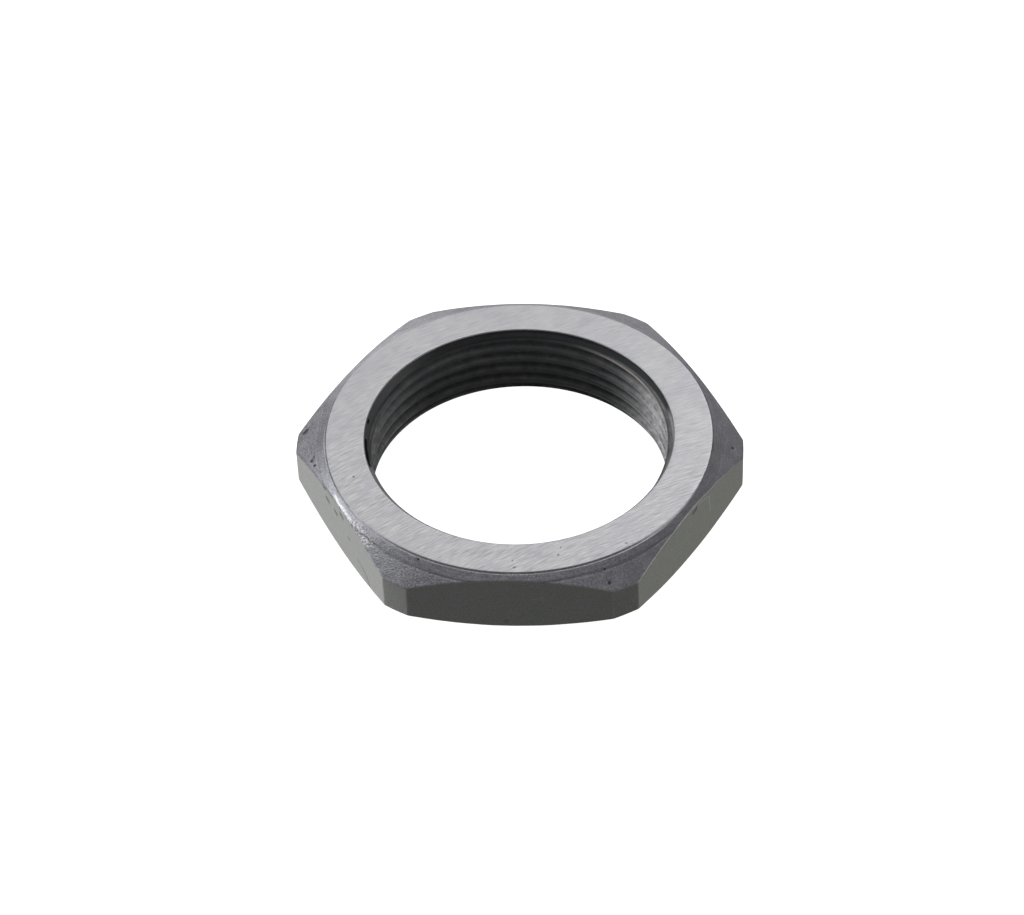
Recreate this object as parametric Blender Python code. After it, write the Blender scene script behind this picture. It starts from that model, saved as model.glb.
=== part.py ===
"""Thin hexagon nut with a fine right-hand thread, modelled as the one solid piece of steel it is.

The nut lies on its lower face. The origin is the middle of that face, +Z is the axis of the bore,
and two opposite corners of the hexagon lie on the X axis, so the wrench flats at the front and the
back face -Y and +Y. It is made in the order a machinist would take: a turned ring, then the six
flats, then the thread.
"""

from math import ceil, cos, floor, pi, radians, sin, sqrt, tan

import bmesh
import bpy

MM = 0.001
TURN = 2 * pi

# Hexagon
ACROSS_FLATS = 41.0 * MM
THICKNESS = 8.0 * MM
CORNER_CUT = 0.77 * MM              # how much is turned off each sharp corner, along its radius

# Faces and chamfers
TOP_FACE_INSET = 0.75 * MM          # from a wrench flat in to the rim of the ground top face
BOTTOM_FACE_WIDTH = 2.75 * MM       # from the mouth of the bore out to the rim of the lower face
TOP_CHAMFER = radians(30.0)         # slope of the chamfer that runs from a face out to the corners
BOTTOM_CHAMFER = radians(27.5)

# Thread
THREAD_DIAMETER = 32.0 * MM         # major diameter, at the bottom of the groove
THREAD_PITCH = 1.5 * MM
THREAD_START = radians(105.0)       # direction in which the groove's middle meets the top face
TOP_COUNTERSINK = 0.71 * MM         # width of the 45 degree cone at each mouth, along its radius
BOTTOM_COUNTERSINK = 0.45 * MM

# Proportions of the metric thread, each as a share of its pitch
ROOT_FLAT = 1 / 8
GROOVE_DEPTH = 5 / 8 * sqrt(3) / 2

# Modelling
SEGMENTS = 72                       # steps in a full turn
CUT_MARGIN = 1.0 * MM               # how far the hexagon tool runs past both faces
GROOVE_OVERRUN = 0.1                # how far the thread tool reaches into the open bore, in pitches
SHARP_EDGE = radians(20.0)          # faces that meet at a steeper angle than this keep a sharp edge

STEEL_COLOUR = (0.40, 0.40, 0.41, 1.0)
STEEL_ROUGHNESS = 0.35
STEEL_METALLIC = 1.0


def clear_scene():
    """Remove every object that the scene starts with."""
    for scene_object in list(bpy.data.objects):
        bpy.data.objects.remove(scene_object, do_unlink=True)


def mesh_object(name, points, faces):
    """Make an object from points and faces, with its faces pointing out of the solid."""
    mesh = bpy.data.meshes.new(name)
    mesh.from_pydata(points, [], faces)
    shell = bmesh.new()
    shell.from_mesh(mesh)
    bmesh.ops.recalc_face_normals(shell, faces=shell.faces)
    shell.to_mesh(mesh)
    shell.free()
    made = bpy.data.objects.new(name, mesh)
    bpy.context.scene.collection.objects.link(made)
    return made


def turned_ring(name, outline):
    """Carry a closed outline of (radius, height) points once round the Z axis."""
    points = []
    for step in range(SEGMENTS):
        angle = TURN * step / SEGMENTS
        points += [(radius * cos(angle), radius * sin(angle), height) for radius, height in outline]
    corners = len(outline)
    faces = []
    for step in range(SEGMENTS):
        here = step * corners
        ahead = (step + 1) % SEGMENTS * corners
        for corner in range(corners):
            after = (corner + 1) % corners
            faces.append((here + corner, here + after, ahead + after, ahead + corner))
    return mesh_object(name, points, faces)


def nut_outline():
    """Return the half section of the turned ring: faces, chamfers, corner rim, bore, countersinks."""
    bore_radius = THREAD_DIAMETER / 2 - GROOVE_DEPTH * THREAD_PITCH
    bottom_mouth = bore_radius + BOTTOM_COUNTERSINK
    bottom_radius = bottom_mouth + BOTTOM_FACE_WIDTH
    top_radius = ACROSS_FLATS / 2 - TOP_FACE_INSET
    corner_radius = ACROSS_FLATS / 2 / cos(pi / 6) - CORNER_CUT
    return [
        (bottom_mouth, 0.0),
        (bottom_radius, 0.0),
        (corner_radius, (corner_radius - bottom_radius) * tan(BOTTOM_CHAMFER)),
        (corner_radius, THICKNESS - (corner_radius - top_radius) * tan(TOP_CHAMFER)),
        (top_radius, THICKNESS),
        (bore_radius + TOP_COUNTERSINK, THICKNESS),
        (bore_radius, THICKNESS - TOP_COUNTERSINK),
        (bore_radius, BOTTOM_COUNTERSINK),
    ]


def hexagon_tool():
    """Make the prism whose six sides are the wrench flats; what lies outside it is milled away."""
    reach = ACROSS_FLATS / 2 / cos(pi / 6)
    corners = [(reach * cos(pi / 3 * side), reach * sin(pi / 3 * side)) for side in range(6)]
    points = [(x, y, height) for height in (-CUT_MARGIN, THICKNESS + CUT_MARGIN) for x, y in corners]
    faces = [(side, (side + 1) % 6, (side + 1) % 6 + 6, side + 6) for side in range(6)]
    faces += [(5, 4, 3, 2, 1, 0), (6, 7, 8, 9, 10, 11)]
    return mesh_object("hexagon_tool", points, faces)


def groove_section():
    """Return the thread groove's section as (radius, height from its middle) points.

    The groove is a trapezium with 30 degree flanks: as wide as the root flat at the major radius,
    and widening inwards until, at the bore, it leaves only a narrow flat crest between two turns.
    """
    root_radius = THREAD_DIAMETER / 2
    tool_depth = (GROOVE_DEPTH + GROOVE_OVERRUN) * THREAD_PITCH
    root_half = ROOT_FLAT * THREAD_PITCH / 2
    mouth_half = root_half + tool_depth * tan(pi / 6)
    return [
        (root_radius, -root_half),
        (root_radius, root_half),
        (root_radius - tool_depth, mouth_half),
        (root_radius - tool_depth, -mouth_half),
    ]


def thread_tool():
    """Carry the groove's section up a right-hand helix that starts and ends outside the nut."""
    section = groove_section()
    corners = len(section)
    start_turn = THREAD_START / TURN
    first = floor((start_turn - THICKNESS / THREAD_PITCH - 1) * SEGMENTS)
    last = ceil((start_turn + 1) * SEGMENTS)
    points = []
    for step in range(first, last + 1):
        angle = TURN * step / SEGMENTS
        middle = THICKNESS + THREAD_PITCH * (step / SEGMENTS - start_turn)
        points += [(radius * cos(angle), radius * sin(angle), middle + rise) for radius, rise in section]
    faces = [tuple(range(corners)), tuple(range(len(points) - corners, len(points)))]
    for ring in range(last - first):
        here = ring * corners
        for corner in range(corners):
            after = (corner + 1) % corners
            faces.append((here + corner, here + after, here + corners + after, here + corners + corner))
    return mesh_object("thread_tool", points, faces)


def cut(piece, tool, operation):
    """Add a Boolean modifier that shapes the piece with a tool, and mark the tool as a guide."""
    modifier = piece.modifiers.new(tool.name, "BOOLEAN")
    modifier.operation = operation
    modifier.solver = "EXACT"
    modifier.object = tool
    tool.hide_render = True
    tool.display_type = "WIRE"


def keep_result(piece, tools):
    """Turn the piece's modifiers into its own mesh and remove the tools that shaped it."""
    evaluated = piece.evaluated_get(bpy.context.evaluated_depsgraph_get())
    piece.data = bpy.data.meshes.new_from_object(evaluated)
    piece.data.name = piece.name
    piece.modifiers.clear()
    for tool in tools:
        bpy.data.objects.remove(tool, do_unlink=True)


def shade(piece):
    """Shade the turned and threaded surfaces smooth, and keep the machined edges sharp."""
    piece.data.shade_smooth()
    piece.data.set_sharp_from_angle(angle=SHARP_EDGE)


def steel():
    """Make the nut's plain steel."""
    material = bpy.data.materials.new("steel")
    material.use_nodes = True
    shader = material.node_tree.nodes["Principled BSDF"]
    shader.inputs["Base Color"].default_value = STEEL_COLOUR
    shader.inputs["Roughness"].default_value = STEEL_ROUGHNESS
    shader.inputs["Metallic"].default_value = STEEL_METALLIC
    return material


def hex_nut():
    """Turn the ring, mill its six flats and cut its thread."""
    nut = turned_ring("hex_nut", nut_outline())
    hexagon = hexagon_tool()
    thread = thread_tool()
    cut(nut, hexagon, "INTERSECT")
    cut(nut, thread, "DIFFERENCE")
    keep_result(nut, [hexagon, thread])
    shade(nut)
    nut.data.materials.append(steel())
    return nut


clear_scene()
hex_nut()
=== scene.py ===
"""Finished look of a thin steel hexagon nut with a fine right-hand thread.

The nut is one closed surface, worked out in columns round its axis and rows along its outline, with
the edges rounded as real edges are, a step turned round the rim of the ground face, a crease in the
chamfer, and the thread cut as a helix. Its four finishes are ground faces, rough chamfers, satin
wrench flats and an oiled thread. Everything is in metres.
"""

from math import acos, cos, pi, radians, sin, tan

import bpy
import numpy as np
from mathutils import Matrix, Vector


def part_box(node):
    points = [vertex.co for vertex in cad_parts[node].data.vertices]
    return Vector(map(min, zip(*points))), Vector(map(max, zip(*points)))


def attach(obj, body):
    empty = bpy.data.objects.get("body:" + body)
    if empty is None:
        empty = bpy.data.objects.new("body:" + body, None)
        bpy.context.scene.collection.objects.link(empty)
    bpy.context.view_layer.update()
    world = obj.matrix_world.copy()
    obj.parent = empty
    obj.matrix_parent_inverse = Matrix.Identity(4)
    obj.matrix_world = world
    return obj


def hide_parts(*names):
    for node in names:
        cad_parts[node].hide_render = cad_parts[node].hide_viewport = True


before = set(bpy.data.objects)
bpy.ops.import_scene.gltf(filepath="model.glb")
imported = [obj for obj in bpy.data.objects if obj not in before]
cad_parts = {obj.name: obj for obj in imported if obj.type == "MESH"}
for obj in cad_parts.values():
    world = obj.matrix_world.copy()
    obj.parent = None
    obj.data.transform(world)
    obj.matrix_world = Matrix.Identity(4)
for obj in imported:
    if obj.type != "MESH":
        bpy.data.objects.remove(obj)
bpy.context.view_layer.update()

MM = 0.001
TURN = 2 * pi
SECTOR = pi / 3                     # one corner of the hexagon with half a flat on either side

NODE = "hex_nut"
BODY = "root"
node_low, node_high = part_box(NODE)

# Sizes of the frame
THICKNESS = node_high.z - node_low.z
APOTHEM = node_high.y               # from the axis to a wrench flat
CORNER_RADIUS = node_high.x         # the turned-down corners
FLAT_REACH = acos(APOTHEM / CORNER_RADIUS)      # from the middle of a flat to a turned corner

# Sizes repeated from the solid model
FACE_RADIUS = APOTHEM - 0.75 * MM
BOTTOM_CHAMFER = radians(27.5)
THREAD_RADIUS = 16.0 * MM
THREAD_PITCH = 1.5 * MM
THREAD_START = radians(105.0)
GROOVE_DEPTH = 0.5413 * THREAD_PITCH
CREST_RADIUS = THREAD_RADIUS - GROOVE_DEPTH
TOP_MOUTH = CREST_RADIUS + 0.71 * MM
BOTTOM_MOUTH = CREST_RADIUS + 0.45 * MM
BOTTOM_FACE_RADIUS = BOTTOM_MOUTH + 2.75 * MM

# Finer than the solid model
TOP_CHAMFER = radians(29.0)
TOP_FACE_RISE = 0.08 * MM           # the ground face stands this far above the chamfer's lip
RIM_EDGE = 0.09 * MM                # rounding of the ground face's rim
RIM_STEP_WIDTH = 0.20 * MM          # turned round the rim of the ground face
RIM_STEP_FOOT = 0.06 * MM           # from the rim to the step's deepest line
RIM_STEP_SHALLOW = 0.115 * MM       # its depth where it fades out
RIM_STEP_DEEP = 0.18 * MM
RIM_STEP_TURN = radians(20.0)       # how far its deepest place is turned from -Y towards -X
LIP_RADIUS = FACE_RADIUS + RIM_STEP_WIDTH
CREASE_RADIUS = 20.77 * MM          # where the turned band meets the rough skin of the chamfer
CREASE_DEPTH = 0.03 * MM
CREASE_WIDTH = 0.12 * MM
SKIN_RISE = 0.01 * MM               # the rough skin stands this far above the turned band
MOUTH_EDGE = 0.1 * MM                # how far down the bore each mouth's rim reaches
CORNER_EDGE = 0.06 * MM             # rounding between a wrench flat and a turned corner
FLAT_EDGE = 0.11 * MM               # rounding between a wrench flat and a chamfer
TIGHT_CORNER = 0.04 * MM            # corners rounded by less than this are sheltered from wear
EDGE_WEAR_WIDTH = 0.10 * MM
ROWS_PER_PITCH = 12
THREAD_EDGE = 0.2 * MM              # rounding of the thread's crests and roots

# Dents in the upper rim and chamfer: place, radius and depth in millimetres
DENTS = [
    (-22.2, 1.2, 0.30, 0.06),
    (-21.95, 1.5, 0.22, 0.05),
    (-21.0, -3.5, 0.24, 0.03),
    (-20.6, -4.3, 0.22, 0.03),
    (-20.8, -3.0, 0.16, 0.02),
    (21.8, -0.5, 0.20, 0.04),
    (9.8, -19.7, 0.20, 0.05),
    (9.3, -18.5, 0.14, 0.02),
    (-9.1, -17.9, 0.16, 0.02),
]

# ---------------------------------------------------------------- shape


def smooth(t):
    """3t^2 - 2t^3, with t held between 0 and 1."""
    t = np.clip(t, 0, 1)
    return t * t * (3 - 2 * t)


def soft_min(a, b, width):
    """The smaller of a and b, with the corner rounded off where they differ by less than width."""
    return np.minimum(a, b) - np.maximum(width - np.abs(a - b), 0) ** 2 / (4 * width)


def soft_max(a, b, width):
    """The larger of a and b, rounded in the same way."""
    return -soft_min(-a, -b, width)


def waviness(x, y, spacing, seed):
    """Smooth random heights from -1 to 1: random values on a square lattice of the given spacing,
    blended between its points by 3t^2 - 2t^3 in both directions."""
    side = 64
    values = np.random.default_rng(seed).uniform(-1, 1, (side, side))
    u, v = x / spacing, y / spacing
    i, j = np.floor(u).astype(int), np.floor(v).astype(int)
    s, t = smooth(u - i), smooth(v - j)
    near, far = i % side, (i + 1) % side
    low, high = j % side, (j + 1) % side
    first = values[near, low] * (1 - t) + values[near, high] * t
    second = values[far, low] * (1 - t) + values[far, high] * t
    return first * (1 - s) + second * s


def column_angles():
    """Angles of the columns round the nut, closer together where a flat meets a turned corner."""
    near = radians(0.9)
    stops = [-SECTOR / 2, -FLAT_REACH - near, -FLAT_REACH + near]
    stops += [FLAT_REACH - near, FLAT_REACH + near, SECTOR / 2]
    counts = [4, 10, 76, 10, 4]
    parts = [np.linspace(a, b, n, endpoint=False) for a, b, n in zip(stops[:-1], stops[1:], counts)]
    sector = np.concatenate(parts)
    turns = np.arange(6)[:, None] * SECTOR
    return (turns + sector).ravel() + SECTOR / 2


def from_flat_middle(angle):
    """Angle from the middle of the nearest wrench flat."""
    return (angle % SECTOR) - SECTOR / 2


def wall_radius(angle):
    """Distance from the axis to the nut's side: the wrench flat or, if nearer, the turned corner."""
    flat = APOTHEM / np.cos(from_flat_middle(angle))
    return soft_min(flat, np.full_like(flat, CORNER_RADIUS), CORNER_EDGE)


FACE, CHAMFER, FLAT, BORE = range(4)


def chamfer_height(radius):
    """Height of the top chamfer: straight down at its slope from the lip beside the ground face."""
    return THICKNESS - TOP_FACE_RISE - (radius - FACE_RADIUS) * tan(TOP_CHAMFER)


def outline_stations(angle):
    """Corners of the outer outline, from the mouth of the bore on top, over the face, down the side
    and back to the mouth below. Each has its radius, its height, how far its rounding reaches, the
    rows in the rounding, the rows on to the next corner, and the finish of that stretch. The step
    round the rim is deepest on the -Y side and fades out on the far side."""
    wall = wall_radius(angle)
    rise = (wall - BOTTOM_FACE_RADIUS) * tan(BOTTOM_CHAMFER)
    deepest = smooth((-np.sin(angle + RIM_STEP_TURN) - 0.1) / 0.4)
    step = RIM_STEP_SHALLOW + (RIM_STEP_DEEP - RIM_STEP_SHALLOW) * deepest
    return [
        (TOP_MOUTH - MOUTH_EDGE, THICKNESS - MOUTH_EDGE, 0.0, 0, 1, FACE),
        (TOP_MOUTH, THICKNESS, 0.05 * MM, 3, 5, FACE),
        (FACE_RADIUS, THICKNESS, RIM_EDGE, 5, 2, CHAMFER),
        (FACE_RADIUS + RIM_STEP_FOOT, THICKNESS - step, 0.03 * MM, 2, 1, CHAMFER),
        (LIP_RADIUS, chamfer_height(LIP_RADIUS), 0.03 * MM, 2, 24, CHAMFER),
        (wall, chamfer_height(wall), FLAT_EDGE, 4, 6, FLAT),
        (wall, rise, FLAT_EDGE, 4, 10, CHAMFER),
        (BOTTOM_FACE_RADIUS, 0.0, 0.1 * MM, 3, 3, FACE),
        (BOTTOM_MOUTH, 0.0, 0.08 * MM, 3, 1, BORE),
        (BOTTOM_MOUTH - MOUTH_EDGE, MOUTH_EDGE, 0.0, 0, 0, BORE),
    ]


def rounded_outline(angle):
    """Rows along the outline, with its corners rounded, and the finish and edge wear of each row.

    Each corner C is cut back by its reach to A and B on its two sides, and replaced by the curve
    (1-t)^2 A + 2t(1-t) C + t^2 B. Rows between two curves crowd towards both ends, at the shares
    (1 - cos(pi k/n)) / 2, except on the chamfers, where they are evenly spaced. Wear is 1 at the
    middle of a curve, and 0 along the stretches between and at the tight corners of the rim step.
    """
    stations = outline_stations(angle)
    one = np.ones_like(angle)
    corners = [np.stack([radius * one, height * one], axis=1) for radius, height, *_ in stations]
    rows, finishes, wear = [], [], []
    start = corners[0]
    for k in range(len(stations) - 1):
        steps, finish = stations[k][4:]
        side = corners[k + 1] - corners[k]
        length = np.linalg.norm(side, axis=1, keepdims=True)
        enter = corners[k + 1] - side / length * np.minimum(stations[k + 1][2], 0.45 * length)
        share = np.arange(steps) / steps
        if finish != CHAMFER:
            share = (1 - np.cos(pi * share)) / 2
        rows += [start + (enter - start) * t for t in share]
        finishes += [finish] * steps
        wear += [0.0] * steps
        start = enter
        if k + 2 < len(stations):
            ahead = corners[k + 2] - corners[k + 1]
            reach = np.minimum(stations[k + 1][2], 0.45 * np.linalg.norm(ahead, axis=1, keepdims=True))
            leave = corners[k + 1] + ahead / np.linalg.norm(ahead, axis=1, keepdims=True) * reach
            arc = np.arange(stations[k + 1][3]) / stations[k + 1][3]
            for t in arc:
                rows.append((1 - t) ** 2 * enter + 2 * t * (1 - t) * corners[k + 1] + t ** 2 * leave)
            finishes += [finish if t < 0.5 else stations[k + 1][5] for t in arc]
            worn = stations[k + 1][2] > TIGHT_CORNER
            wear += [worn * (1 - abs(2 * t - 1)) for t in arc]
            start = leave
    rows.append(start)
    finishes.append(BORE)
    wear.append(0.0)
    return np.stack(rows, axis=1), np.array(finishes), np.array(wear)


def bore_radius(angle, height):
    """Radius of the bore's wall: whichever of the plain bore, the thread groove and the two
    countersinks reaches furthest out.

    The groove's radius falls from the root at sqrt(3) times the distance from its middle, as 30
    degree flanks do. Its middle climbs one pitch a turn, anticlockwise seen from above.
    """
    middle = THICKNESS + THREAD_PITCH * (angle - THREAD_START) / TURN
    offset = (height - middle) / THREAD_PITCH
    away = np.abs(offset - np.round(offset)) * THREAD_PITCH
    groove = THREAD_RADIUS + THREAD_PITCH / 16 * 3 ** 0.5 - away * 3 ** 0.5
    groove = soft_min(groove, np.full_like(groove, THREAD_RADIUS), THREAD_EDGE)
    wall = soft_max(groove, np.full_like(groove, CREST_RADIUS), THREAD_EDGE)
    wall = soft_max(wall, TOP_MOUTH - (THICKNESS - height), 0.03 * MM)
    return soft_max(wall, BOTTOM_MOUTH - height, 0.03 * MM)


def rough_skin(x, y, seed):
    """Heights of a chamfer's rough skin: waviness 0.5 mm across, on waviness 1.9 mm across."""
    fine = waviness(x, y, 0.5 * MM, seed)
    coarse = waviness(x, y, 1.9 * MM, seed + 1)
    return (0.006 * fine + 0.014 * coarse) * MM


def chamfer_relief(radius, angle):
    """Height added to the top chamfer, and how deep in the crease each spot is, from 0 to 1.

    The crease is a shallow bell-shaped valley whose radius wanders a little round the nut, deepest
    on the -Y side. The skin outside it stands slightly proud, with two sizes of waviness, and is
    calmer on the +X side.
    """
    x, y = radius * np.cos(angle), radius * np.sin(angle)
    wander = 0.06 * np.sin(3 * angle + 1) + 0.04 * np.sin(7 * angle + 2) + 0.02 * np.sin(17 * angle)
    from_crease = radius - CREASE_RADIUS - wander * MM
    crease = np.exp(-(from_crease / CREASE_WIDTH) ** 2) * (0.2 + 0.8 * smooth(-np.sin(angle)))
    skin = smooth(from_crease / CREASE_WIDTH)
    calm = 1 - 0.7 * smooth((np.cos(angle) - 0.45) / 0.4)
    return skin * calm * (SKIN_RISE + rough_skin(x, y, 3)) - CREASE_DEPTH * crease, crease


def dents(x, y):
    """Depth of the dents and how marked each spot is by them, from 0 to 1: each dent is a bell,
    deepest at its middle and gone at about twice its radius."""
    depth, marked = np.zeros_like(x), np.zeros_like(x)
    for centre_x, centre_y, radius, deep in DENTS:
        away = np.hypot(x - centre_x * MM, y - centre_y * MM) / (radius * MM)
        depth += deep * MM * np.exp(-away ** 2)
        marked += np.exp(-away ** 2)
    return depth, np.minimum(marked, 1)


def outer_surface(angle):
    """Points of the faces, chamfers and flats, with relief on both chamfers and the dents on top;
    the finish of each row; and how worn, nicked and creased each point is."""
    outer, finishes, row_wear = rounded_outline(angle)
    radius, height = outer[..., 0], outer[..., 1]
    around = angle[:, None] + 0 * radius
    upper = smooth((height / THICKNESS - 0.4) / 0.2)
    on_top = upper * smooth((radius - LIP_RADIUS) / (0.15 * MM))
    below = (1 - upper) * smooth((radius - BOTTOM_FACE_RADIUS - 0.2 * MM) / (1 * MM))
    x, y = radius * np.cos(around), radius * np.sin(around)
    relief, crease = chamfer_relief(radius, around)
    depth, nicks = dents(x, y)
    height = height + on_top * relief + below * rough_skin(x, y, 5) - upper * depth
    from_edge = (np.abs(from_flat_middle(angle)) - FLAT_REACH) * CORNER_RADIUS
    column_wear = np.exp(-(from_edge / EDGE_WEAR_WIDTH) ** 2)
    on_wall = (np.abs(radius - wall_radius(angle)[:, None]) < 0.01 * MM)
    wear = np.maximum(row_wear[None, :], column_wear[:, None] * on_wall)
    marked = {"wear": wear, "nicks": upper * nicks, "crease": on_top * crease}
    return np.stack([radius, height], axis=2), finishes, marked


def nut_surface():
    """The whole surface as columns by rows of points, with each row's finish, how worn, nicked and
    creased each point is, and which rows of the bore have run out at either mouth. Bore rows climb
    with the thread, and in the bore the wear value marks only the crests, for painted shade on them."""
    angle = column_angles()
    outer, finishes, marked = outer_surface(angle)
    mouth_low, mouth_high = outer[:, -1:, 1], outer[:, :1, 1]
    count = int(np.ceil((THICKNESS / THREAD_PITCH + 1) * ROWS_PER_PITCH)) + 1
    climb = (np.arange(count) / ROWS_PER_PITCH - 1) * THREAD_PITCH
    height = climb[None, :] + THREAD_PITCH * (angle[:, None] - angle[0]) / TURN
    low, high = height <= mouth_low, height >= mouth_high
    height = np.clip(height, mouth_low, mouth_high)
    radius = bore_radius(angle[:, None], height)
    crest = smooth(1 - (radius - CREST_RADIUS) / (0.26 * MM))
    outline = np.concatenate([outer, np.stack([radius, height], axis=2)], axis=1)
    x = outline[..., 0] * np.cos(angle)[:, None]
    y = outline[..., 0] * np.sin(angle)[:, None]
    points = np.stack([x, y, outline[..., 1]], axis=2)
    finishes = np.concatenate([finishes, np.full(count, BORE)])
    # In the bore the wear value marks the crests, which the thread's finish darkens as painted shade.
    inside = {"wear": crest, "nicks": 0 * crest, "crease": 0 * crest}
    marked = {name: np.concatenate([marked[name], inside[name]], axis=1) for name in inside}
    return points, finishes, marked, low, high


def nut_faces(columns, outer_rows, rows, low, high):
    """Triangles between neighbouring columns, with the bore rows that have run out at a mouth
    folded onto the rim there. After a full turn a bore row meets the one a pitch above it."""
    index = np.arange(columns * rows).reshape(columns, rows)
    index[:, outer_rows:][low] = np.repeat(index[:, outer_rows - 1], low.sum(1))
    index[:, outer_rows:][high] = np.repeat(index[:, 0], high.sum(1))
    ahead = np.roll(index, -1, axis=0)
    bore = rows - outer_rows
    shifted = np.full(bore, index[0, 0])
    shifted[: bore - ROWS_PER_PITCH] = index[0, outer_rows + ROWS_PER_PITCH:]
    ahead[-1, outer_rows:] = shifted
    a, b = index[:, :-1], index[:, 1:]
    c, d = ahead[:, 1:], ahead[:, :-1]
    halves = [np.stack([a, b, c], 2).reshape(-1, 3), np.stack([a, c, d], 2).reshape(-1, 3)]
    triangles = np.concatenate(halves)
    row_of = np.tile(np.broadcast_to(np.arange(rows - 1), a.shape).ravel(), 2)
    whole = (triangles[:, 0] != triangles[:, 1]) & (triangles[:, 1] != triangles[:, 2])
    whole &= triangles[:, 0] != triangles[:, 2]
    return triangles[whole], row_of[whole]


def make_nut(materials):
    """Put the surface into one mesh object, with a finish on every face and its marks on every point."""
    points, finishes, marked, low, high = nut_surface()
    columns, rows = points.shape[:2]
    triangles, row_of = nut_faces(columns, rows - low.shape[1], rows, low, high)
    used, compact = np.unique(triangles, return_inverse=True)
    mesh = bpy.data.meshes.new("nut_body")
    mesh.from_pydata(points.reshape(-1, 3)[used], [], compact.reshape(-1, 3))
    for material in materials:
        mesh.materials.append(material)
    mesh.polygons.foreach_set("material_index", finishes[row_of].astype(np.int32))
    for name, values in marked.items():
        attribute = mesh.attributes.new(name, "FLOAT", "POINT")
        attribute.data.foreach_set("value", values.reshape(-1)[used].astype(np.float32))
    mesh.shade_smooth()
    body = bpy.data.objects.new("nut_body", mesh)
    bpy.context.scene.collection.objects.link(body)
    return body


# ---------------------------------------------------------------- finishes


def put(tree, kind, values, **settings):
    """Add a node, set its options, and set or link each of its inputs."""
    node = tree.nodes.new(kind)
    for name, value in settings.items():
        setattr(node, name, value)
    for key, value in values.items():
        if isinstance(value, bpy.types.NodeSocket):
            tree.links.new(value, node.inputs[key])
        else:
            node.inputs[key].default_value = value
    return node


def calc(tree, operation, a, b=0.0, c=0.0):
    """Add a Math node and return its result."""
    return put(tree, "ShaderNodeMath", {0: a, 1: b, 2: c}, operation=operation).outputs[0]


def vector(tree, operation, a, b=(0.0, 0.0, 0.0), output="Vector"):
    """Add a Vector Math node and return its result."""
    return put(tree, "ShaderNodeVectorMath", {0: a, 1: b}, operation=operation).outputs[output]


def scaled(tree, value, factor):
    """Multiply a vector or a colour by a number."""
    values = {0: value, "Scale": factor}
    return put(tree, "ShaderNodeVectorMath", values, operation="SCALE").outputs[0]


def ramp(tree, value, low, high, to_low=0.0, to_high=1.0):
    """Bring a value from the range low to high smoothly into another range."""
    values = {"Value": value, "From Min": low, "From Max": high, "To Min": to_low, "To Max": to_high}
    return put(tree, "ShaderNodeMapRange", values, interpolation_type="SMOOTHSTEP").outputs["Result"]


def stretch(tree, value, to_low, to_high):
    """Bring a value from the range 0 to 1 in a straight line into another range."""
    values = {"Value": value, "To Min": to_low, "To Max": to_high}
    return put(tree, "ShaderNodeMapRange", values).outputs["Result"]


def soften(tree, value, strength):
    """Draw a value towards a half, keeping the given share of its distance."""
    return calc(tree, "MULTIPLY_ADD", calc(tree, "SUBTRACT", value, 0.5), strength, 0.5)


def mix(tree, share, a, b, blend="MIX"):
    """Mix two colours by a share."""
    node = put(tree, "ShaderNodeMix", {0: share, 6: a, 7: b}, data_type="RGBA", blend_type=blend)
    return node.outputs[2]


def cover(tree, colour, mask, amount, tint):
    """Cover a colour with a tint where the mask is, by up to the amount."""
    return mix(tree, calc(tree, "MULTIPLY", mask, amount), colour, tint)


def stored(tree, name):
    """A value stored on the nut's points."""
    return put(tree, "ShaderNodeAttribute", {}, attribute_name=name).outputs["Fac"]


def noise(tree, position, size, detail=2.0, roughness=0.5):
    """Soft random values from 0 to 1, in lumps about as wide as the given size."""
    scale = calc(tree, "DIVIDE", 1.0, size)
    values = {"Vector": position, "Scale": scale, "Detail": detail, "Roughness": roughness}
    return put(tree, "ShaderNodeTexNoise", values).outputs["Fac"]


def new_group(name, inputs, outputs):
    """Start a node group with named inputs and outputs; return it with its two end nodes."""
    group = bpy.data.node_groups.new(name, "ShaderNodeTree")
    for label, kind, value in inputs:
        socket = group.interface.new_socket(label, in_out="INPUT", socket_type="NodeSocket" + kind)
        socket.default_value = value
    for label, kind in outputs:
        group.interface.new_socket(label, in_out="OUTPUT", socket_type="NodeSocket" + kind)
    return group, group.nodes.new("NodeGroupInput").outputs, group.nodes.new("NodeGroupOutput").inputs


def use(tree, group, **values):
    """Place a node group in a tree and return its outputs."""
    node = tree.nodes.new("ShaderNodeGroup")
    node.node_tree = group
    for label, value in values.items():
        socket = node.inputs[label.replace("_", " ").capitalize()]
        if isinstance(value, bpy.types.NodeSocket):
            tree.links.new(value, socket)
        else:
            socket.default_value = value
    return node.outputs


ZERO = (0.0, 0.0, 0.0)
GREY = (0.5, 0.5, 0.5, 1.0)


def place_group():
    """Where a spot lies: its X and Y, its distance from the nut's axis, its angle round the axis, the
    distance travelled round at that radius, and its height."""
    outputs = ["X", "Y", "Radius", "Turned", "Travel", "Height"]
    sockets = [(label, "Float") for label in outputs]
    group, given, out = new_group("place_on_nut", [("Position", "Vector", ZERO)], sockets)
    x, y, height = put(group, "ShaderNodeSeparateXYZ", {0: given["Position"]}).outputs
    squares = calc(group, "ADD", calc(group, "MULTIPLY", x, x), calc(group, "MULTIPLY", y, y))
    radius = calc(group, "SQRT", squares)
    turned = calc(group, "ARCTAN2", y, x)
    travel = calc(group, "MULTIPLY", turned, radius)
    for label, value in zip(outputs, (x, y, radius, turned, travel, height)):
        group.links.new(value, out[label])
    return group


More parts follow.
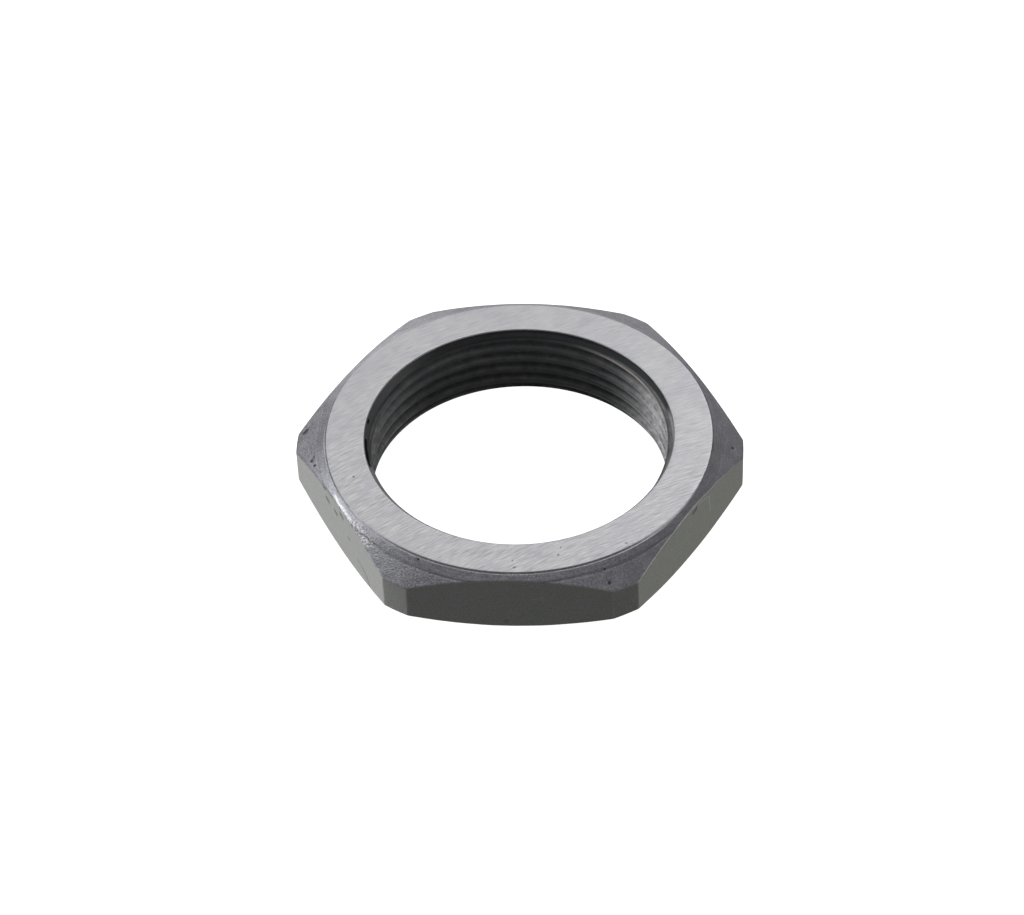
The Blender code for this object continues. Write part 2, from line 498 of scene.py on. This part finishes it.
def shade_group():
    """Brighten a colour where the mask is above a half and darken it below, by up to the amount."""
    inputs = [("Color", "Color", GREY), ("Mask", "Float", 0.5), ("Amount", "Float", 0.0)]
    group, given, out = new_group("shade", inputs, [("Color", "Color")])
    darkest = calc(group, "SUBTRACT", 1.0, given["Amount"])
    brightest = calc(group, "ADD", 1.0, given["Amount"])
    factor = stretch(group, given["Mask"], darkest, brightest)
    group.links.new(scaled(group, given["Color"], factor), out["Color"])
    return group


def lines_group():
    """Fine lines left by a tool: noise stretched along the cut. Lines are values round a half;
    scores are the few deepest ones, as a mask."""
    inputs = [("Across", "Float", 0.0), ("Along", "Float", 0.0), ("Width", "Float", 1e-4)]
    inputs += [("Length", "Float", 2e-3)]
    group, given, out = new_group("tool_lines", inputs, [("Lines", "Float"), ("Scores", "Float")])
    across = calc(group, "DIVIDE", given["Across"], given["Width"])
    along = calc(group, "DIVIDE", given["Along"], given["Length"])
    spot = put(group, "ShaderNodeCombineXYZ", {0: across, 1: along}).outputs[0]
    values = {"Vector": spot, "Scale": 1.0, "Detail": 3.0, "Roughness": 0.6}
    lines = put(group, "ShaderNodeTexNoise", values, noise_dimensions="2D").outputs["Fac"]
    sparse = {"Vector": spot, "Scale": 0.45, "Detail": 1.0, "Roughness": 0.5}
    deep = put(group, "ShaderNodeTexNoise", sparse, noise_dimensions="2D").outputs["Fac"]
    group.links.new(lines, out["Lines"])
    group.links.new(ramp(group, deep, 0.62, 0.72), out["Scores"])
    return group


def grain_group():
    """Grain of a metal skin, and specks, which are small round pits scattered thinly, as a mask."""
    inputs = [("Position", "Vector", ZERO), ("Size", "Float", 3e-4), ("Speck size", "Float", 1e-3)]
    group, given, out = new_group("metal_grain", inputs, [("Grain", "Float"), ("Specks", "Float")])
    lumps = noise(group, given["Position"], given["Size"], 1.5, 0.6)
    scale = calc(group, "DIVIDE", 1.0, given["Speck size"])
    cells = put(group, "ShaderNodeTexVoronoi", {"Vector": given["Position"], "Scale": scale}).outputs
    pit = ramp(group, cells["Distance"], 0.06, 0.16, 1.0, 0.0)
    parts = put(group, "ShaderNodeSeparateColor", {0: cells["Color"]})
    chosen = calc(group, "GREATER_THAN", parts.outputs[0], 0.8)
    group.links.new(lumps, out["Grain"])
    group.links.new(calc(group, "MULTIPLY", pit, chosen), out["Specks"])
    return group


def blotch_group():
    """Soft blotches of two tints, as handling and oil leave on bare steel, and as patches in the
    thread's painted reflection.
    """
    inputs = [("Position", "Vector", ZERO), ("Size", "Float", 2e-3)]
    inputs += [("First tint", "Color", GREY), ("Second tint", "Color", GREY)]
    group, given, out = new_group("steel_blotches", inputs, [("Color", "Color"), ("Blotches", "Float")])
    large = noise(group, given["Position"], given["Size"], 3.0, 0.6)
    share = ramp(group, large, 0.35, 0.65)
    group.links.new(mix(group, share, given["First tint"], given["Second tint"]), out["Color"])
    group.links.new(share, out["Blotches"])
    return group


def wear_group():
    """Edge wear: the wear stored along the nut's edges, broken up by noise, as a mask."""
    inputs = [("Position", "Vector", ZERO), ("Amount", "Float", 1.0)]
    group, given, out = new_group("edge_wear", inputs, [("Wear", "Float")])
    patchy = ramp(group, noise(group, given["Position"], 0.9 * MM, 3.0, 0.6), 0.3, 0.62)
    broken = calc(group, "MULTIPLY", stored(group, "wear"), patchy)
    group.links.new(calc(group, "MULTIPLY", broken, given["Amount"]), out["Wear"])
    return group


def mark_group():
    """One mark, as a mask: 1 within a width of the straight line from start to end, with a soft rim.

    The nearest point of the line is start + (end - start) times the share of the way along it,
    which is the position's projection divided by the line's own length squared, held to 0 to 1.
    """
    inputs = [("Position", "Vector", ZERO), ("Start", "Vector", ZERO), ("End", "Vector", ZERO)]
    inputs += [("Width", "Float", 1e-4)]
    group, given, out = new_group("mark", inputs, [("Mask", "Float")])
    way = vector(group, "SUBTRACT", given["End"], given["Start"])
    spot = vector(group, "SUBTRACT", given["Position"], given["Start"])
    projected = vector(group, "DOT_PRODUCT", spot, way, "Value")
    length = vector(group, "DOT_PRODUCT", way, way, "Value")
    share = calc(group, "DIVIDE", projected, calc(group, "MAXIMUM", length, 1e-12))
    share = put(group, "ShaderNodeClamp", {"Value": share}).outputs[0]
    away = vector(group, "DISTANCE", spot, scaled(group, way, share), "Value")
    rim = ramp(group, calc(group, "DIVIDE", away, given["Width"]), 0.4, 1.2, 1.0, 0.0)
    group.links.new(rim, out["Mask"])
    return group


PLACE = place_group()
SHADE = shade_group()
LINES = lines_group()
GRAIN = grain_group()
BLOTCHES = blotch_group()
WEAR = wear_group()
MARK = mark_group()


def shade(tree, colour, mask, amount):
    """Brighten and darken a colour by a mask."""
    return use(tree, SHADE, color=colour, mask=mask, amount=amount)["Color"]


def blotches(tree, position, size, tints):
    """Soft blotches of two tints."""
    return use(tree, BLOTCHES, position=position, size=size, first_tint=tints[0], second_tint=tints[1])


def marks(tree, position, places):
    """Mask of several marks, each given by its start, its end and its width in millimetres."""
    mask = 0.0
    for start, end, width in places:
        start, end = [tuple(part * MM for part in point) for point in (start, end)]
        one = use(tree, MARK, position=position, start=start, end=end, width=width * MM)["Mask"]
        mask = calc(tree, "MAXIMUM", mask, one)
    return mask


def new_finish(name):
    """Start a bare-metal material; return it with its tree, the position on the nut and its parts."""
    material = bpy.data.materials.new(name)
    material.use_nodes = True
    tree = material.node_tree
    tree.nodes["Principled BSDF"].inputs["Metallic"].default_value = 1.0
    position = tree.nodes.new("ShaderNodeTexCoord").outputs["Object"]
    return material, tree, position, use(tree, PLACE, position=position)


def finish(tree, colour, roughness, relief, depth):
    """Link the colour, the roughness and a relief of the given depth to the shader."""
    shader = tree.nodes["Principled BSDF"]
    normal = put(tree, "ShaderNodeBump", {"Height": relief, "Distance": depth, "Strength": 1.0})
    tree.links.new(colour, shader.inputs["Base Color"])
    tree.links.new(roughness, shader.inputs["Roughness"])
    tree.links.new(normal.outputs["Normal"], shader.inputs["Normal"])


FACE_TINTS = ((0.56, 0.557, 0.585, 1.0), (0.60, 0.597, 0.618, 1.0))
SCORE_TINT = (0.16, 0.16, 0.17, 1.0)
SMUDGE_TINT = (0.20, 0.20, 0.21, 1.0)
FACE_PIT_TINT = (0.10, 0.10, 0.11, 1.0)
FACE_EDGE_WEAR_AND_HIGHLIGHT_TINT = (0.72, 0.72, 0.74, 1.0)
GRIND_ANGLE = radians(32.0)
GRIND_BEND = 300 * MM               # the grinding lines are very wide arcs
FACE_PITS = [
    ((-16.4, -6.7, 8), (-16.4, -6.6, 8), 0.14),
    ((4.7, -17.3, 8), (4.7, -17.2, 8), 0.13),
    ((0.4, -19.1, 8), (0.5, -19.0, 8), 0.13),
    ((0.2, -18.2, 8), (0.25, -18.1, 8), 0.09),
    ((11.3, -15.5, 8), (11.4, -15.5, 8), 0.12),
    ((4.9, -16.3, 8), (4.9, -16.2, 8), 0.09),
]
SMUDGES = [
    ((-16.9, 7.3, 8), (-16.4, 6.9, 8), 0.9),
    ((6.1, 17.1, 8), (6.2, 17.6, 8), 0.8),
    ((3.6, 18.3, 8), (3.4, 17.2, 8), 0.9),
    ((-0.8, 17.8, 8), (-0.8, 17.4, 8), 0.5),
]


def ground_steel():
    """Ground faces: fine, nearly straight grinding lines all over, calmer towards +Y, sparser deep
    scores across them, a faint tint, and a few tiny pits and smudges."""
    material, tree, position, place = new_finish("ground_steel")
    lay = (cos(GRIND_ANGLE), sin(GRIND_ANGLE), 0.0)
    square = (-sin(GRIND_ANGLE), cos(GRIND_ANGLE), 0.0)
    along = vector(tree, "DOT_PRODUCT", position, lay, "Value")
    across = vector(tree, "DOT_PRODUCT", position, square, "Value")
    bend = calc(tree, "MULTIPLY", calc(tree, "MULTIPLY", along, along), 1 / GRIND_BEND)
    across = calc(tree, "ADD", across, bend)
    fine = use(tree, LINES, across=across, along=along, width=0.085 * MM, length=1.3 * MM)
    coarse = use(tree, LINES, across=across, along=along, width=0.22 * MM, length=2.6 * MM)
    strength = ramp(tree, place["Y"], -8 * MM, 10 * MM, 1.0, 0.55)
    colour = blotches(tree, position, 4 * MM, FACE_TINTS)["Color"]
    colour = shade(tree, colour, soften(tree, fine["Lines"], strength), 0.50)
    colour = shade(tree, colour, soften(tree, coarse["Lines"], strength), 0.28)
    scored = calc(tree, "MULTIPLY", fine["Scores"], strength)
    colour = cover(tree, colour, scored, 0.22, SCORE_TINT)
    colour = cover(tree, colour, marks(tree, position, SMUDGES), 0.06, SMUDGE_TINT)
    colour = cover(tree, colour, marks(tree, position, FACE_PITS), 0.7, FACE_PIT_TINT)
    # Worn edges, lightened further as a painted highlight along the rim of the face.
    worn = use(tree, WEAR, position=position, amount=0.6)["Wear"]
    colour = mix(tree, worn, colour, FACE_EDGE_WEAR_AND_HIGHLIGHT_TINT)
    roughness = stretch(tree, fine["Lines"], 0.36, 0.48)
    relief = calc(tree, "SUBTRACT", fine["Lines"], calc(tree, "MULTIPLY", fine["Scores"], 0.5))
    finish(tree, colour, roughness, relief, 0.006 * MM)
    return material


SKIN_TINTS = ((0.43, 0.43, 0.47, 1.0), (0.50, 0.50, 0.54, 1.0))
CREASE_SHADE_TINT = (0.20, 0.20, 0.22, 1.0)
NICK_TINT = (0.06, 0.06, 0.07, 1.0)
CHAMFER_EDGE_TINT = (0.60, 0.60, 0.62, 1.0)
GLINT_TINT = (0.88, 0.88, 0.90, 1.0)
PAINTED_GLINT = [                           # stretch of the turned band, smoother, with a painted glint
    ((-18.1, -9.0, 7.6), (-17.6, -10.1, 7.58), 0.16),
    ((-17.7, -10.1, 7.52), (-16.9, -11.4, 7.52), 0.28),
    ((-16.8, -11.5, 7.5), (-16.3, -12.3, 7.5), 0.2),
]
PAINTED_SPARKLE = [                         # skin beside it, with painted glints on its high spots
    ((-16.2, -12.6, 7.4), (-15.2, -14.0, 7.35), 0.62),
    ((-15.0, -13.9, 7.4), (-14.2, -15.3, 7.2), 0.62),
]


def chamfer_steel():
    """Chamfers: fine-grained skin outside, calmer towards +X, and inside the crease a smoother band
    with turning lines. The crease is darkened with painted shade, and the nicks are dark. One
    stretch is smoother and painted with a glint, and so are the high spots of the skin beside it."""
    material, tree, position, place = new_finish("chamfer_steel")
    radius = place["Radius"]
    skin = use(tree, GRAIN, position=position, size=0.2 * MM, speck_size=1.3 * MM)
    grain = skin["Grain"]
    lumps = soften(tree, grain, ramp(tree, place["X"], 7 * MM, 17 * MM, 1.0, 0.45))
    turned = use(tree, LINES, across=radius, along=place["Travel"], width=0.10 * MM, length=3 * MM)
    band = ramp(tree, radius, CREASE_RADIUS - 0.2 * MM, CREASE_RADIUS + 0.05 * MM, 1.0, 0.0)
    colour = blotches(tree, position, 1.6 * MM, SKIN_TINTS)["Color"]
    colour = shade(tree, colour, lumps, 0.6)
    colour = mix(tree, band, colour, shade(tree, colour, turned["Lines"], 0.35))
    # Painted shade: the crease darkened.
    colour = cover(tree, colour, stored(tree, "crease"), 0.7, CREASE_SHADE_TINT)
    nicks = ramp(tree, stored(tree, "nicks"), 0.25, 0.75)
    pitted = calc(tree, "MAXIMUM", calc(tree, "MULTIPLY", skin["Specks"], 0.6), nicks)
    colour = cover(tree, colour, pitted, 0.85, NICK_TINT)
    worn = use(tree, WEAR, position=position, amount=0.3)["Wear"]
    colour = mix(tree, worn, colour, CHAMFER_EDGE_TINT)
    # Painted glint: a near-white tint on the smoother stretch and on the high spots beside it, which
    # also get a lower roughness.
    high_spots = ramp(tree, grain, 0.45, 0.62, 0.0, 0.66)
    sparkle_glint = calc(tree, "MULTIPLY", marks(tree, position, PAINTED_SPARKLE), high_spots)
    glint_grain = ramp(tree, grain, 0.3, 0.55, 0.3, 0.72)
    glint = calc(tree, "MULTIPLY", marks(tree, position, PAINTED_GLINT), glint_grain)
    glint = calc(tree, "MAXIMUM", glint, sparkle_glint)
    colour = mix(tree, glint, colour, GLINT_TINT)
    roughness = calc(tree, "MULTIPLY_ADD", band, -0.05, stretch(tree, grain, 0.34, 0.50))
    roughness = calc(tree, "MULTIPLY_ADD", glint, -0.10, roughness)
    relief = calc(tree, "MULTIPLY", lumps, stretch(tree, band, 1.0, 0.55))
    finish(tree, colour, roughness, relief, 0.036 * MM)
    return material


FLAT_TINTS = ((0.37, 0.388, 0.36, 1.0), (0.385, 0.385, 0.385, 1.0))
OIL_FILM = (1.0, 1.0, 0.94, 1.0)    # thin film of oil on the +X side
FLAT_PIT_TINT = (0.10, 0.10, 0.10, 1.0)
RUB_TINT = (0.60, 0.60, 0.58, 1.0)
FLAT_EDGE_TINT = (0.62, 0.62, 0.62, 1.0)
FLAT_PITS = [                       # pits, and last the three stretches of a curved score
    ((-19.45, -7.31, 7.3), (-19.3, -7.57, 7.2), 0.30),
    ((-19.1, -7.92, 6.15), (-18.9, -8.26, 6.05), 0.34),
    ((-18.15, -9.56, 6.0), (-17.95, -9.91, 5.9), 0.30),
    ((-17.45, -10.77, 6.75), (-17.2, -11.21, 6.65), 0.32),
    ((-16.7, -12.08, 4.8), (-16.5, -12.42, 4.7), 0.14),
    ((17.9, -10.0, 6.8), (18.25, -9.39, 7.0), 0.22),
    ((-15.7, -13.8, 3.5), (-15.2, -14.7, 3.25), 0.07),
    ((-15.2, -14.7, 3.25), (-14.7, -15.5, 2.9), 0.10),
    ((-14.7, -15.5, 2.9), (-14.35, -16.15, 2.05), 0.11),
]
FLAT_RUBS = [
    ((18.3, -9.3, 7.05), (18.85, -8.35, 7.0), 0.07),
    ((18.85, -8.35, 7.0), (19.5, -7.25, 6.5), 0.07),
    ((19.5, -7.25, 6.5), (19.6, -7.05, 4.3), 0.07),
    ((-12.2, -19.5, 4.4), (-11.4, -19.9, 3.6), 0.05),
    ((2.0, -20.5, 4.9), (3.4, -20.5, 5.2), 0.04),
]


def flat_steel():
    """Wrench flats and turned corners: smooth satin steel with faint blotches, a light lengthwise
    polish, and the pits and scratches that handling has left."""
    material, tree, position, place = new_finish("flat_steel")
    grain = use(tree, GRAIN, position=position, size=0.16 * MM, speck_size=2.6 * MM)
    height, travel = place["Height"], place["Travel"]
    lines = use(tree, LINES, across=height, along=travel, width=0.16 * MM, length=4 * MM)
    colour = blotches(tree, position, 1.4 * MM, FLAT_TINTS)["Color"]
    colour = shade(tree, colour, grain["Grain"], 0.42)
    colour = shade(tree, colour, lines["Lines"], 0.08)
    specks = calc(tree, "MULTIPLY", grain["Specks"], 0.35)
    pitted = calc(tree, "MAXIMUM", marks(tree, position, FLAT_PITS), specks)
    colour = cover(tree, colour, pitted, 0.8, FLAT_PIT_TINT)
    colour = mix(tree, ramp(tree, place["X"], 8 * MM, 13 * MM), colour, OIL_FILM, "MULTIPLY")
    colour = cover(tree, colour, marks(tree, position, FLAT_RUBS), 0.8, RUB_TINT)
    worn = use(tree, WEAR, position=position, amount=0.3)["Wear"]
    colour = mix(tree, worn, colour, FLAT_EDGE_TINT)
    roughness = stretch(tree, grain["Grain"], 0.40, 0.54)
    relief = calc(tree, "MULTIPLY_ADD", lines["Lines"], 0.3, grain["Grain"])
    relief = calc(tree, "MULTIPLY_ADD", pitted, -2.0, relief)
    finish(tree, colour, roughness, relief, 0.006 * MM)
    return material


OIL_TINTS = ((0.165, 0.172, 0.178, 1.0), (0.225, 0.228, 0.23, 1.0))
REFLECTION_TINTS = ((0.72, 0.72, 0.735, 1.0), (0.86, 0.855, 0.87, 1.0))
CREST_SHADE_TINT = (0.075, 0.078, 0.082, 1.0)
CONE_LEFT_SHADE = (0.17, 0.18, 0.175, 1.0)
CONE_LIGHTER_SHADE = (0.50, 0.50, 0.515, 1.0)
CREST_HIGHLIGHT_TINT = (0.62, 0.58, 0.55, 1.0)
SPECK_TINT = (0.03, 0.03, 0.035, 1.0)
STAIN_TINT = (0.015, 0.015, 0.018, 1.0)
REFLECTION_PLACES = [                    # middle of each stretch of painted reflection, half its width, and how strong it is
    (radians(-2.0), radians(60.0), 1.0),
    (radians(-172.0), radians(58.0), 0.42),
]
COUNTERSINK_FOOT = THICKNESS - 0.75 * MM
CLIMB = THREAD_PITCH / TURN         # of the thread, for each radian
BAND_SHADE_HEIGHT = THICKNESS - 0.97 * MM        # of the brightest line of each groove's painted band of light and shade, where it passes the X axis
HIGHLIGHT_HEIGHT = THICKNESS - 1.16 * MM       # of the painted highlight along one crest, where it would pass there
HIGHLIGHT_MIDDLE = radians(25.0)
MOUTH_STAINS = [
    ((-15.6, 1.9, 7.75), (-15.65, 1.5, 7.75), 0.16),
    ((-15.6, -1.0, 7.75), (-15.5, -2.4, 7.75), 0.20),
    ((-15.5, -2.4, 7.75), (-15.2, -3.9, 7.75), 0.26),
    ((-15.2, -3.9, 7.75), (-14.9, -4.8, 7.75), 0.20),
]


def reflection_share(tree, place, patches):
    """How much painted reflection lies on the bore's wall: each stretch of it, full at its middle and
    gone at its ends, below the first thread, in patches."""
    share = 0.0
    for middle, reach, reflection_strength in REFLECTION_PLACES:
        away = calc(tree, "WRAP", calc(tree, "SUBTRACT", place["Turned"], middle), pi, -pi)
        near = ramp(tree, calc(tree, "ABSOLUTE", away), 0.35 * reach, reach, reflection_strength, 0.0)
        share = calc(tree, "MAXIMUM", share, near)
    below = ramp(tree, place["Height"], THICKNESS - 2.4 * MM, THICKNESS - 1.5 * MM, 1.0, 0.0)
    patchy = stretch(tree, patches, 0.7, 1.0)
    return calc(tree, "MULTIPLY", calc(tree, "MULTIPLY", share, below), patchy)


def cone_colour(tree, place):
    """Colour of the countersinks, painted shade: dark, a little lighter on the -X side, and lighter
    still towards -Y and +X.
    """
    colour = mix(tree, ramp(tree, place["X"], -14 * MM, -9 * MM), CONE_LEFT_SHADE, CREST_SHADE_TINT)
    lighter_line = calc(tree, "MULTIPLY_ADD", place["X"], -0.28, place["Y"])
    return mix(tree, ramp(tree, lighter_line, -1.6 * MM, 0.9 * MM), CONE_LIGHTER_SHADE, colour)


def thread_steel():
    """Thread and countersinks: dark oiled steel with faint tool marks round the axis and small dark
    pits, with painted shade darkest on the crests and in the countersink, and a lighter painted
    reflection on the two sides, where a painted highlight lies along one crest. Each groove has a
    painted band of light and shade, a cosine of the height above the helix, and the bore is painted
    darker towards the bottom, as shade deep in the bore."""
    material, tree, position, place = new_finish("thread_steel")
    turned, height, travel = place["Turned"], place["Height"], place["Travel"]
    skin = use(tree, GRAIN, position=position, size=0.3 * MM, speck_size=0.8 * MM)
    lines = use(tree, LINES, across=height, along=travel, width=0.2 * MM, length=2.0 * MM)
    colour = blotches(tree, position, 1.3 * MM, OIL_TINTS)["Color"]
    # Painted shade: the crests darkened.
    colour = cover(tree, colour, stored(tree, "wear"), 0.62, CREST_SHADE_TINT)
    # Painted light and shade: a band along each groove of the thread, a cosine of the height above the
    # helix.
    level = calc(tree, "MULTIPLY_ADD", turned, -CLIMB, height)
    phase = calc(tree, "MULTIPLY", calc(tree, "SUBTRACT", level, BAND_SHADE_HEIGHT), TURN / THREAD_PITCH)
    light_and_shade_bands = calc(tree, "MULTIPLY_ADD", calc(tree, "COSINE", phase), 0.5, 0.5)
    colour = shade(tree, colour, light_and_shade_bands, 0.40)
    # Painted shade: the bore darker towards the bottom, deep in the hole.
    deep_shade = ramp(tree, height, THICKNESS - 5.0 * MM, THICKNESS - 3.2 * MM, 0.76, 0.97)
    colour = scaled(tree, colour, deep_shade)
    # Painted shade in the top countersink.
    in_cone = ramp(tree, height, COUNTERSINK_FOOT, COUNTERSINK_FOOT + 0.1 * MM)
    colour = mix(tree, in_cone, colour, cone_colour(tree, place))
    # Painted reflection: lighter blotchy stretches on the two side walls of the bore.
    reflection = blotches(tree, position, 0.8 * MM, REFLECTION_TINTS)
    colour = mix(tree, reflection_share(tree, place, reflection["Blotches"]), colour, reflection["Color"])
    # Painted highlight: a bright line along one crest, strongest round the +X side.
    from_highlight = calc(tree, "ABSOLUTE", calc(tree, "SUBTRACT", level, HIGHLIGHT_HEIGHT))
    crest_highlight = ramp(tree, from_highlight, 0.08 * MM, 0.2 * MM, 1.0, 0.0)
    from_middle = calc(tree, "ABSOLUTE", calc(tree, "SUBTRACT", turned, HIGHLIGHT_MIDDLE))
    lit = ramp(tree, from_middle, radians(20.0), radians(52.0), 0.95, 0.0)
    colour = cover(tree, colour, crest_highlight, lit, CREST_HIGHLIGHT_TINT)
    colour = shade(tree, colour, skin["Grain"], 0.22)
    colour = shade(tree, colour, lines["Lines"], 0.2)
    colour = cover(tree, colour, skin["Specks"], 0.35, SPECK_TINT)
    colour = mix(tree, marks(tree, position, MOUTH_STAINS), colour, STAIN_TINT)
    roughness = stretch(tree, skin["Grain"], 0.48, 0.66)
    relief = calc(tree, "MULTIPLY_ADD", lines["Lines"], 0.6, skin["Grain"])
    finish(tree, colour, roughness, relief, 0.007 * MM)
    return material


nut = make_nut([ground_steel(), chamfer_steel(), flat_steel(), thread_steel()])
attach(nut, BODY)
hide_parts(NODE)

# ---------------------------------------------------------------- camera


AZIMUTH = radians(4.444)
ELEVATION = radians(43.99)
ROLL = radians(2.35)
AWAY = 18.391                       # distance from the top face, in radii of the face
SHIFT_RIGHT = -0.0408               # how far the camera is off the axis, in the same unit
SHIFT_UP = -0.1235
LENS = 125.15                       # focal length and sensor width in millimetres
SENSOR = 36.0


def add_camera():
    """Camera that looks down on the nut from the front, turned a little about its own line of sight."""
    right = Vector((cos(AZIMUTH), sin(AZIMUTH), 0))
    back = Vector((sin(AZIMUTH) * cos(ELEVATION), -cos(AZIMUTH) * cos(ELEVATION), sin(ELEVATION)))
    up = back.cross(right)
    target = Vector((0, 0, THICKNESS))
    place = target + FACE_RADIUS * (AWAY * back + SHIFT_RIGHT * right + SHIFT_UP * up)
    side = cos(ROLL) * right - sin(ROLL) * up
    top = sin(ROLL) * right + cos(ROLL) * up
    data = bpy.data.cameras.new("camera")
    data.lens = LENS
    data.sensor_width = SENSOR
    camera = bpy.data.objects.new("camera", data)
    camera.matrix_world = Matrix((
        (side.x, top.x, back.x, place.x),
        (side.y, top.y, back.y, place.y),
        (side.z, top.z, back.z, place.z),
        (0, 0, 0, 1),
    ))
    bpy.context.scene.collection.objects.link(camera)
    bpy.context.scene.camera = camera


add_camera()

# ---------------------------------------------------------------- light and floor

LIGHT_DISTANCE = 0.4

# Soft panels round the nut: direction, size, and brightness
PANELS = {
    "back_left_panel": ((-0.24, 0.72, 0.69), (0.16, 0.30), 0.88),
    "back_right_panel": ((0.24, 0.72, 0.69), (0.16, 0.30), 1.51),
    "overhead_panel": ((0.0, 0.0, 1.0), (0.26, 0.26), 0.18),
    "left_panel": ((-0.66, 0.34, 0.67), (0.16, 0.20), 1.82),
    "far_left_panel": ((-0.42, 0.90, 0.03), (0.16, 0.16), 0.8),
    "far_panel": ((0.0, 0.97, -0.24), (0.30, 0.15), 0.47),
    "left_front_low_panel": ((-0.65, -0.32, -0.69), (0.16, 0.16), 0.5),
    "left_low_panel": ((-0.62, 0.36, -0.69), (0.26, 0.26), 1.05),
    "right_low_panel": ((0.62, 0.36, -0.69), (0.26, 0.26), 0.32),
    "left_side_panel": ((-1.0, -0.1, 0.1), (0.2, 0.2), 1.95),
    "right_side_panel": ((1.0, -0.1, 0.1), (0.2, 0.2), 1.4),
}
SURROUND = 0.157
FLOOR_REACH = 3.0
FLOOR_DROP = 0.2 * MM               # clear of the lower face


def add_panel(name, direction, size, brightness):
    """Soft rectangular light that faces the nut; its power is brightness times pi times its area."""
    data = bpy.data.lights.new(name, "AREA")
    data.shape = "RECTANGLE"
    data.size, data.size_y = size
    data.energy = brightness * pi * size[0] * size[1]
    light = bpy.data.objects.new(name, data)
    place = Vector(direction).normalized() * LIGHT_DISTANCE
    light.location = place
    light.rotation_euler = place.to_track_quat("Z", "Y").to_euler()
    bpy.context.scene.collection.objects.link(light)
    return light


def add_surround():
    """Even grey light from all round."""
    world = bpy.data.worlds.new("studio")
    world.use_nodes = True
    background = world.node_tree.nodes["Background"]
    background.inputs["Color"].default_value = (SURROUND, SURROUND, SURROUND, 1)
    bpy.context.scene.world = world


def add_floor():
    """Plain white table, just under the nut. It glows a little, so that it stays white, and the nut
    doesn't mirror it."""
    mesh = bpy.data.meshes.new("floor")
    signs = [(-1, -1), (1, -1), (1, 1), (-1, 1)]
    corners = [(FLOOR_REACH * x, FLOOR_REACH * y, 0) for x, y in signs]
    mesh.from_pydata(corners, [], [(0, 1, 2, 3)])
    floor = bpy.data.objects.new("floor", mesh)
    bpy.context.scene.collection.objects.link(floor)
    floor.location.z = -FLOOR_DROP
    paint = bpy.data.materials.new("table_white")
    paint.use_nodes = True
    shader = paint.node_tree.nodes["Principled BSDF"]
    shader.inputs["Base Color"].default_value = (0.85, 0.85, 0.85, 1)
    shader.inputs["Emission Color"].default_value = (1, 1, 1, 1)
    shader.inputs["Emission Strength"].default_value = 1.0
    mesh.materials.append(paint)
    floor.visible_glossy = False
    floor.visible_shadow = False
    return floor


for panel, (direction, size, brightness) in PANELS.items():
    add_panel(panel, direction, size, brightness)
add_surround()
add_floor()
bpy.context.scene.view_settings.view_transform = "Standard"
